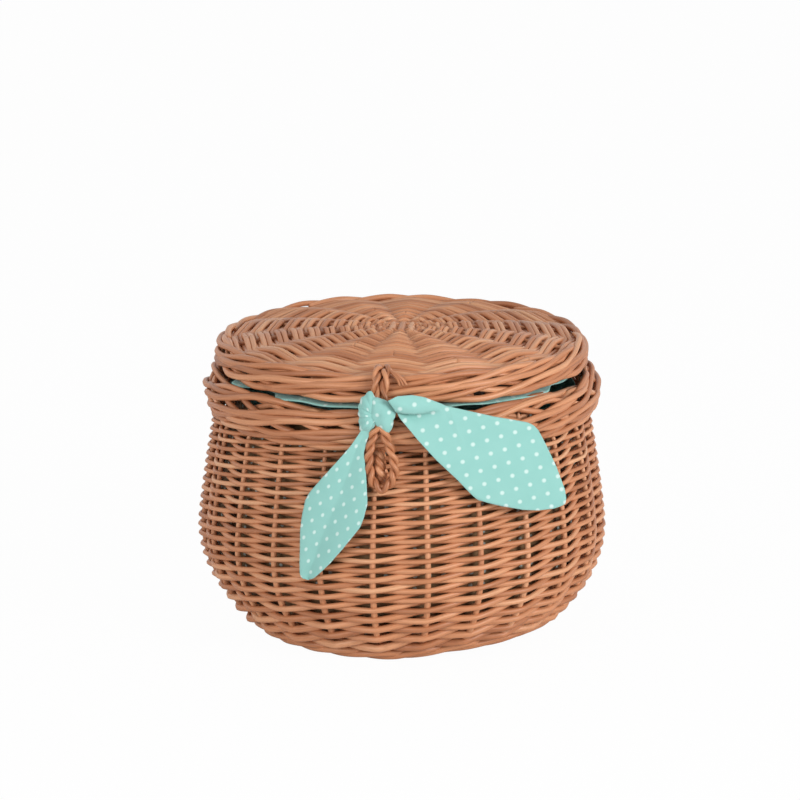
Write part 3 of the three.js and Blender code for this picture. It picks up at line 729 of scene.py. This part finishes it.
# %% Hinge rings
HINGE_Y, HINGE_Z, HINGE_RADIUS = 146.5, 211.6, 12
for side, name in ((-26, "hinge_ring_left"), (26, "hinge_ring_right")):
    path = ring_path((side, HINGE_Y, HINGE_Z), HINGE_RADIUS, HINGE_RADIUS)
    ring = make_rods(name + "_rods", twisted(path, 1.45, 5), twist_willow, seed=81 + side)
    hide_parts(name)
    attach(ring, "basket")

# %% [markdown]
# The ring on the front is a tight, thick twist that is threaded through the wall. The loop of the
# lid comes out under the lid's weave, goes over the border, and parts below the ribbon into a long
# loop that hangs round the ring. Its left half is twisted one way and its right half the other. The
# ends of its rods show on top of the lid. Its outline is named as points across and up.

# %% Ring and loop on the front
RING_HEIGHT = 160
path = ring_path((0.1, -149.4, RING_HEIGHT), 5.4, 9.2)
path[:, 0] -= 0.13 * (path[:, 2] - RING_HEIGHT)
ring_strands = twisted(path, 2.6, -4, phase=0.9, spread=0.76)
front_ring = make_rods("front_ring_rods", ring_strands, twist_willow, seed=91)
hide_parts("front_ring")
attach(front_ring, "basket")

SWING_Y, SWING_Z, REACH, LOOP_FRONT = -131.7, 212.9, 15.6, 159.0
LOOP_LEFT = [(0.8, 199), (-1.6, 191), (-4.6, 185), (-6.3, 178), (-7.6, 171), (-7.8, 162), (-6.4, 153.5),
             (-3.4, 147.4)]
LOOP_RIGHT = [(1.2, 144.2), (5.6, 146), (9.6, 151.4), (11.4, 158), (10.9, 165), (9.1, 171.5), (7, 178),
              (4.2, 185), (2.2, 191), (1.2, 199)]
LOOP_TURNS = 3.3
FRAYED = [(2, -134, 229.6), (7, -139.5, 227.2), (11.5, -143.5, 224), (14, -147, 219.5)]
stems = []
for first, top_x, low_x in ((52, -3.6, -2.4), (60, 2.6, 2.9)):
    arc = []
    for degrees in range(first, 181, 16):
        reach = REACH + 1.6 * max(0, (degrees - 90) / 90)
        place = math.radians(degrees)
        arc.append((top_x, SWING_Y + reach * math.cos(place), SWING_Z + reach * math.sin(place)))
    low = [(low_x, -152, 206.5), (low_x * 0.7, -155.5, 202.5), (0.6 + low_x / 4, -158.4, 199),
           (1, -159, 193)]
    stems.append(smooth_path(arc + low, 90))
hanging = smooth_path([(x, -LOOP_FRONT, z) for x, z in LOOP_LEFT + LOOP_RIGHT], 150)
wound = LOOP_TURNS * (1 - np.abs(np.linspace(-1, 1, len(hanging))))
loop_strands = twisted(stems[0], 1.9, 2.4, phase=1.2) + twisted(stems[1], 1.9, -2.1, phase=0.2)
loop_strands += twisted(hanging, 2.0, wound, phase=0.7)
for number, sweep in enumerate((0, 1.6, 3.4)):
    apart = [(0, 0, 0), (sweep * 0.5, 0, 0.3), (sweep, 0.8 * number, 0.2), (sweep * 1.4, number, -0.5)]
    loop_strands.append((smooth_path(np.array(FRAYED) + np.array(apart), 22), rounded(1.0, 22, 0.3)))
loop = make_rods("lid_loop_rods", loop_strands, twist_willow, seed=92)
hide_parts("lid_loop")
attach(loop, "closure")

# %% [markdown]
# All the cloth is one cotton: mint, with small white dots on a square net about ten millimetres
# apart. The dots are drawn from a UV map in metres, so they keep their size on every piece and turn
# with the cloth. Distance to the nearest point of the net, by a fraction and a length, gives a disc.
# A brown copy of the cotton is painted shade, for the linings' faces that are seen between the rods.

# %% Dotted cotton
DOT_SPACING = 10.2
DOT_RADIUS = 1.45
PRINT = shade(206, 226, 221)


def cotton_material(name, ground, shadow):
    material, nodes, links, shader = new_material(name)
    uv = nodes.new("ShaderNodeUVMap")
    uv.uv_map = "cloth"
    split = nodes.new("ShaderNodeSeparateXYZ")
    links.new(uv.outputs["UV"], split.inputs[0])
    squares = []
    threads = []
    for axis in ("X", "Y"):
        cell = math_node(nodes, links, "DIVIDE", split.outputs[axis], DOT_SPACING * MM)
        share = math_node(nodes, links, "FRACT", math_node(nodes, links, "ADD", cell, 0.5))
        inside = math_node(nodes, links, "SUBTRACT", share, 0.5)
        distance = math_node(nodes, links, "MULTIPLY", inside, DOT_SPACING * MM)
        squares.append(math_node(nodes, links, "MULTIPLY", distance, distance))
        thread = math_node(nodes, links, "MULTIPLY", split.outputs[axis], 2 * math.pi / 0.0006)
        threads.append(math_node(nodes, links, "SINE", thread))
    far = math_node(nodes, links, "SQRT", math_node(nodes, links, "ADD", squares[0], squares[1]))
    disc = nodes.new("ShaderNodeMapRange")
    disc.inputs["From Min"].default_value = DOT_RADIUS * MM * 1.35
    disc.inputs["From Max"].default_value = DOT_RADIUS * MM * 0.65
    links.new(far, disc.inputs["Value"])
    weave = math_node(nodes, links, "MULTIPLY", threads[0], threads[1])
    mottle = noise_node(nodes, links, uv.outputs["UV"], 60, 3)
    cloth = mix_node(nodes, links, "MIX", mottle.outputs["Fac"], shadow, ground)
    printed = math_node(nodes, links, "MULTIPLY", disc.outputs[0], 0.8)
    colour = mix_node(nodes, links, "MIX", printed, cloth, PRINT)
    links.new(colour, shader.inputs["Base Color"])
    shader.inputs["Roughness"].default_value = 0.85
    shader.inputs["Specular IOR Level"].default_value = 0.25
    shader.inputs["Sheen Weight"].default_value = 0.25
    shader.inputs["Sheen Roughness"].default_value = 0.5
    add_bump(nodes, links, weave, shader, 0.25, 0.0002)
    return material


cotton = cotton_material("dotted_cotton", shade(147, 198, 190), shade(133, 188, 180))
# Painted shade: a brown cotton for the linings' faces that are seen between the rods.
shaded_cotton = cotton_material("cotton_painted_shade", shade(142, 108, 74), shade(112, 90, 62))
print("cotton made")

# %% [markdown]
# A sheet is made as a net of points: rows along it and columns across it. The same helper serves the
# bag, the lid's lining and the ribbon. It starts from a grid primitive, whose points are moved to
# their places, and it writes the cloth's own flat measures into the UV map. Solidify then gives it
# the thickness of the cloth.

# %% Helpers that make sheets
def lay_flat(mesh, flat):
    """Writes the flat place of each point into the UV map, in metres."""
    layer = mesh.uv_layers[0] if mesh.uv_layers else mesh.uv_layers.new()
    layer.name = "cloth"
    corners = np.zeros(len(mesh.loops), dtype=np.int64)
    mesh.loops.foreach_get("vertex_index", corners)
    layer.data.foreach_set("uv", (flat.reshape(-1, 2)[corners] * MM).ravel())
    mesh.update()


def make_sheet(name, points, flat, thickness):
    """points and flat are nets of the same shape, rows by columns, in millimetres."""
    points = np.array(points)
    rows, columns = points.shape[:2]
    select_none()
    bpy.ops.mesh.primitive_grid_add(x_subdivisions=columns - 1, y_subdivisions=rows - 1, size=1)
    piece = bpy.context.object
    piece.name = name
    mesh = piece.data
    mesh.vertices.foreach_set("co", (points.reshape(-1, 3) * MM).ravel())
    lay_flat(mesh, np.array(flat))
    merge_points(2e-5)
    shell = piece.modifiers.new("thickness", "SOLIDIFY")
    shell.thickness = thickness * MM
    shell.offset = 0
    bpy.ops.object.modifier_apply(modifier=shell.name)
    piece.data.shade_smooth()
    dress(piece, cotton)
    print(name, "points:", len(piece.data.vertices))
    return piece


# %% Lining bag
CLOTH = 0.8
BAG_INSIDE = 12.6  # the bag lies this far inside the wall's outer curve
angles = np.linspace(0, 2 * math.pi, 289)
bag_profile = [(0, 15.2), (30, 15.0), (60, 15.1), (90, 15.2), (106, 15.6), (117, 20)]
bag_profile += [(float(wall(z)) - BAG_INSIDE, z) for z in np.linspace(25, NECK_HEIGHT, 40)]
bag_profile += [(135.6, 175), (135.8, 183), (135.7, 187), (135.3, 189.5)]
bag_net = []
bag_flat = []
run = 0
last = bag_profile[0]
for number, (radius, height) in enumerate(bag_profile):
    run += math.hypot(radius - last[0], height - last[1])
    last = (radius, height)
    soft = min(1, radius / 120) * (0.6 if height < 22 else 1)
    fold = -0.55 + 0.45 * np.sin(9 * angles + 1.3 * math.sin(height / 40)) * soft
    fold += 0.3 * np.sin(23 * angles + height / 30) * soft
    top = 0.7 * np.sin(13 * angles) * max(0, (height - 178) / 12)
    spread = np.maximum(radius + fold * (radius > 1), 0)
    points = np.stack([spread * np.cos(angles), spread * np.sin(angles), height + top], axis=1)
    bag_net.append(leaned(points))
    bag_flat.append(np.stack([angles * 140, run + 0 * angles], axis=1))
bag = make_sheet("lining_bag_cloth", bag_net, bag_flat, CLOTH)
bag.data.materials.append(shaded_cotton)
# The bag's outward faces, seen between the rods, get the painted-shade brown.
for face in bag.data.polygons:
    outward = face.normal.x * face.center.x + face.normal.y * face.center.y > 0.01
    face.material_index = int(outward)
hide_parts("lining_bag")
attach(bag, "basket")

# %% [markdown]
# The lid's lining is a disc whose edge droops a little. In a few stretches at the front it comes out
# past the border, and its mint edge shows in the seam. The side of both linings that faces the willow
# is painted brown, as painted shade for the dark between the rods.

# %% Lid lining
LINING_TURNS = [200, 209, 212, 218, 221, 231, 235, 264, 292, 296, 304, 310, 319, 326, 333]
LINING_SHOWN = [-5, -5, 3, 3, -5, -5, 3.6, 3.6, 1.2, 0.6, 0.6, 3.4, 4.4, 3.4, -4]
radii = np.concatenate([np.linspace(0, 126, 22), np.linspace(129, 140.3, 10)])
lid_net = []
lid_flat = []
edge_wave = 0.6 * np.sin(17 * angles + 0.6) + 0.4 * np.sin(29 * angles) + 1.1 * np.sin(7 * angles + 2)
shown = np.interp(np.degrees(angles), LINING_TURNS, LINING_SHOWN)
for radius in radii:
    edge = max(0, (radius - 118) / 22.3)
    height = 207.9 - 1.7 * edge ** 2 + edge ** 2 * 0.4 * np.sin(21 * angles)
    height = height + 0.4 * (1 - edge) * np.sin(5 * angles) * radius / 140
    reach = radius + edge ** 3 * (edge_wave + shown)
    height = np.clip(height, 205.9, 208.3)
    points = np.stack([reach * np.cos(angles), reach * np.sin(angles), height], axis=1)
    lid_net.append(leaned(points))
    lid_flat.append(np.stack([radius * np.cos(angles), radius * np.sin(angles)], axis=1))
lid_cloth = make_sheet("lid_lining_cloth", lid_net, lid_flat, CLOTH)
lid_cloth.data.materials.append(shaded_cotton)
# The lining's upper faces inside its edge, seen through the lid's weave, get the painted-shade brown.
for face in lid_cloth.data.polygons:
    inner = math.hypot(face.center.x, face.center.y) < 0.134
    face.material_index = int(inner and face.normal.z > 0.3)
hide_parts("lid_lining")
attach(lid_cloth, "lid")

# %% [markdown]
# The ribbon is tied round the neck of the loop. Its right tail is stiff and hangs almost flat
# against the border, with its upper band rolled over a hollow near the knot. Its left tail lies along
# the wall with one soft valley down its middle. Each tail is a net between its two edges, whose
# outlines are named as points across and up.

# %% Ribbon tails
def edge_net(left, right, rows, columns):
    """A net of (x, z) between two outlines that start side by side and meet at the tip."""
    one = resample([(x, 0, z) for x, z in left], rows)
    two = resample([(x, 0, z) for x, z in right], rows)
    share = np.linspace(0, 1, columns)[None, :, None]
    return one[:, None, :] * (1 - share) + two[:, None, :] * share


RIGHT_UPPER = [(7, 212), (13.3, 215.2), (24, 215.5), (33, 213.6), (41.1, 209.9), (48.3, 206.2),
               (62.7, 202.1), (82.7, 196.3), (96.4, 193.2), (106, 190.8), (110.5, 188.4), (113.8, 184.6),
               (119.4, 173.3), (127, 156.5), (133.4, 138.6), (134.4, 131.5), (133.6, 128)]
RIGHT_LOWER = [(10.5, 208), (16, 198), (28.6, 181.2), (41.2, 166.2), (55.7, 151), (66.5, 138.6),
               (70.5, 134.8), (78.6, 131.7), (87.7, 128.9), (103.4, 125), (114.4, 123.9), (125.5, 124.6),
               (131.5, 126.4), (133.6, 128)]
LEFT_INNER = [(-5.2, 190.5), (-8.8, 181), (-11.1, 172.1), (-10.3, 164), (-9.3, 153.7), (-8.4, 138.1),
              (-8.4, 133.6), (-11.1, 123.2), (-13.6, 116.6), (-26.3, 100.1), (-36.8, 87.4), (-45, 78.8),
              (-49.1, 75.0), (-53, 73.6)]
LEFT_OUTER = [(-11.5, 190.5), (-20.6, 176.8), (-32.5, 162.7), (-41.6, 152.3), (-51.6, 140.1),
              (-55.1, 133.7), (-57.8, 121.5), (-59.1, 110.6), (-59.4, 92.3), (-59.7, 78), (-58.6, 74.4),
              (-56, 73.4), (-53, 73.6)]
FACING = math.radians(19)
RIBBON = 1.0
ACROSS, RIGHT_ROWS, LEFT_ROWS = 41, 90, 64


def print_map(x, z, first, second):
    """Flat places for the print: first and second are the steps from dot to dot, across and up."""
    to_flat = np.linalg.inv(np.stack([first, second], axis=1)) * DOT_SPACING
    return np.stack([row[0] * x + row[1] * z for row in to_flat], axis=2)


net = edge_net(RIGHT_UPPER, RIGHT_LOWER, RIGHT_ROWS, ACROSS)
x, z = net[..., 0], net[..., 2]
across = np.linspace(0, 1, ACROSS)[None, :]
along = np.linspace(0, 1, RIGHT_ROWS)[:, None]
below = 204.6 - 3.4 * np.sin(math.pi * np.clip((x - 9) / 36, 0, 1)) - z
fade = np.clip((45 - x) / 20, 0, 1)
roll = 3.2 * np.clip(-below / 7, 0, 1) ** 0.5 * np.clip(1.6 + below / 9, 0, 1)
hollow = 6.2 * np.exp(-(np.clip(below - 0.5, 0, None) / 5) ** 2) * (below > 0)
hollow = hollow * np.clip(1.2 - across ** 4, 0, 1)
crease = 0.6 * np.exp(-((x - 50 - 0.35 * (203.7 - z)) / 1.3) ** 2) * np.clip((z - 172) / 12, 0, 1)
ripple = 0.5 * np.sin(5.2 * across + 6 * along) * (1 - 0.4 * along)
forward = (roll - hollow) * fade + ripple + crease
face = -(LOOP_FRONT - x * math.sin(FACING)) / math.cos(FACING)
y = face - forward * np.minimum(1, along * 14 + 0.15)
flat = print_map((x - 97.0) / math.cos(FACING), z - 184.0, (10.58, 2.52), (2.96, -10.0))
right_tail = make_sheet("ribbon_right", np.stack([x, y, z], axis=2), flat, RIBBON)
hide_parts("ribbon_tail_right")
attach(right_tail, "closure")
print("right tail's front:", float(y.min()))

# %% Left tail
def stand_off(z):
    """Radius of the cloth's inner side: on the belly, over the hollow of the neck, on the border."""
    return np.interp(z, [60, 85, 120, 150, 165, 200], [160.6, 163, 161.0, 159.6, 159.4, 158.6])


net = edge_net(LEFT_OUTER, LEFT_INNER, LEFT_ROWS, ACROSS)
x, z = net[..., 0], net[..., 2]
along = np.linspace(0, 1, LEFT_ROWS)[:, None]
grown = np.minimum(1, along * 3) * (1 - 0.5 * along ** 4)
fold = 2.6 * np.abs(np.sin(math.pi * (across - 0.48))) ** 1.3 * grown
fold = fold + 0.5 * np.sin(9 * along + 2 * across)
y = -np.sqrt(np.maximum((stand_off(z) + 0.6) ** 2 - x ** 2, 0)) - fold
flat = print_map(x + 34, z - 128, (8.0, 4.6), (1.7, -8.7))
left_tail = make_sheet("ribbon_left", np.stack([x, y, z], axis=2), flat, RIBBON)
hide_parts("ribbon_tail_left")
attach(left_tail, "closure")
print("left tail's front:", float(y.min()))

# %% [markdown]
# The knot has two forms: a smooth flap that is wrapped over the loop's neck, and on its left the
# gathered start of the ribbon, with pleats that spread like a fan from where the flap pinches them.
# The flap starts as a ball of many faces, squashed towards the wall and drawn out to a soft diamond.
# The fan is a sheet in rings round the pinch, and its pleats grow outwards. The two are joined.

# %% Flap of the knot
FLAP_TURNS = np.radians([15, 45, 89, 117, 126, 142, 170, 209, 235, 264, 286, 294, 334, 375])
FLAP_REACH = [11.0, 10.2, 11.6, 14.2, 13.4, 11.4, 8.9, 8.4, 8.8, 9.8, 14.4, 14.4, 9.6, 11.0]
FLAP_MIDDLE = np.array([1.6, -159.3, 200.4])
select_none()
bpy.ops.mesh.primitive_uv_sphere_add(segments=96, ring_count=64, radius=1)
flap = bpy.context.object
mesh = flap.data
ball = np.zeros(len(mesh.vertices) * 3)
mesh.vertices.foreach_get("co", ball)
bx, by, bz = ball.reshape(-1, 3).T
turn = np.arctan2(bz, bx)
reach = np.interp(np.mod(turn - FLAP_TURNS[0], 2 * math.pi) + FLAP_TURNS[0], FLAP_TURNS, FLAP_REACH)
swell = np.sign(by) * np.clip(1 - np.hypot(bx, bz) ** 3.4, 0, 1) ** 0.55
crease = 0.6 * np.sin(3 * bx + 2.2 * bz + 0.5) + 0.2 * np.sin(7 * bx - 4 * bz)
shape = np.stack([reach * bx, (4.9 + crease) * swell, reach * bz], axis=1) + FLAP_MIDDLE
mesh.vertices.foreach_set("co", (shape * MM).ravel())
flat_across = shape[:, 0] * 1.1 + 0.3 * shape[:, 2] + 2
flat_up = shape[:, 2] * 1.05 - 0.25 * shape[:, 0] + 3
lay_flat(mesh, np.stack([flat_across, flat_up], axis=1))
mesh.shade_smooth()
dress(flap, cotton)

# %% Gathers of the knot
FAN_TURNS = np.radians([84, 100, 111, 137, 160, 185, 199, 226, 249, 268])
FAN_REACH = [9, 17.2, 16.8, 14.6, 12.6, 11.6, 12.0, 15.4, 14.0, 9]
spokes = np.linspace(FAN_TURNS[0], FAN_TURNS[-1], 181)
outer = np.interp(spokes, FAN_TURNS, FAN_REACH)
fan_net = []
fan_flat = []
for share in np.linspace(0.12, 1, 26):
    pleat = 0.75 * np.abs(np.sin(spokes * 3.4 + 0.4)) ** 0.7 + 0.25 * np.abs(np.sin(spokes * 9.1 + share))
    folds = 3.2 * share * pleat * (1 - 0.45 * share)
    depth = -160.4 - folds - 1.8 * math.sin(math.pi * share) + 3.2 * share ** 4
    frill = outer * (1 + 0.03 * np.sin(spokes * 14.6)) * share
    fan_net.append(np.stack([-3.0 + frill * np.cos(spokes), depth, 200 + frill * np.sin(spokes)], axis=1))
    fan_flat.append(np.stack([spokes * 13, 22 * share + 0 * spokes], axis=1))
fan = make_sheet("knot_gathers", fan_net, fan_flat, RIBBON)
select_none()
flap.select_set(True)
fan.select_set(True)
bpy.context.view_layer.objects.active = flap
bpy.ops.object.join()
knot = bpy.context.object
knot.name = "ribbon_knot_cloth"
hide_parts("ribbon_knot")
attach(knot, "closure")

# %% [markdown]
# The stage is a white floor and a white world, as in a shop picture. What the camera sees of them is
# made almost pure white by the Light Path node, while their light on the basket stays plain. Two big
# soft lamps stand low at the right and the left.

# %% Stage and light
SKY = 0.48  # how strongly the white world lights the basket
FLOOR_WHITE = 0.97
select_none()
bpy.ops.mesh.primitive_plane_add(size=12, location=(0, 2, 0))
floor = bpy.context.object
floor.name = "floor"
bpy.ops.object.transform_apply(location=True)
material, nodes, links, shader = new_material("white_floor")
shader.inputs["Base Color"].default_value = (0.85, 0.85, 0.85, 1)
shader.inputs["Roughness"].default_value = 0.9
glow = nodes.new("ShaderNodeEmission")
ray = nodes.new("ShaderNodeLightPath")
blend = nodes.new("ShaderNodeMixShader")
links.new(math_node(nodes, links, "MULTIPLY", ray.outputs["Is Camera Ray"], FLOOR_WHITE), blend.inputs[0])
links.new(shader.outputs[0], blend.inputs[1])
links.new(glow.outputs[0], blend.inputs[2])
links.new(blend.outputs[0], nodes["Material Output"].inputs[0])
floor.data.materials.append(material)

world = bpy.data.worlds.new("studio")
bpy.context.scene.world = world
world.use_nodes = True
nodes, links = world.node_tree.nodes, world.node_tree.links
ray = nodes.new("ShaderNodeLightPath")
mirrored = math_node(nodes, links, "MAXIMUM", ray.outputs["Is Glossy Ray"],
                     ray.outputs["Is Transmission Ray"])
seen = math_node(nodes, links, "MAXIMUM", ray.outputs["Is Camera Ray"], mirrored)
nodes["Background"].inputs["Color"].default_value = (1, 1, 1, 1)
brighter = math_node(nodes, links, "MULTIPLY", seen, 1 - SKY)
links.new(math_node(nodes, links, "ADD", brighter, SKY), nodes["Background"].inputs["Strength"])


def lamp(name, place, size, watts):
    select_none()
    way = Vector(place) - Vector((0, 0, 0.12))
    bpy.ops.object.light_add(type="AREA", location=place, rotation=way.to_track_quat("Z", "Y").to_euler())
    light = bpy.context.object
    light.name = name
    light.data.size = size
    light.data.energy = watts


lamp("key", (1.7, -1.2, 0.75), 0.8, 30)
lamp("fill", (-1.1, -1.5, 0.65), 1.0, 13)
bpy.context.scene.view_settings.view_transform = "Standard"
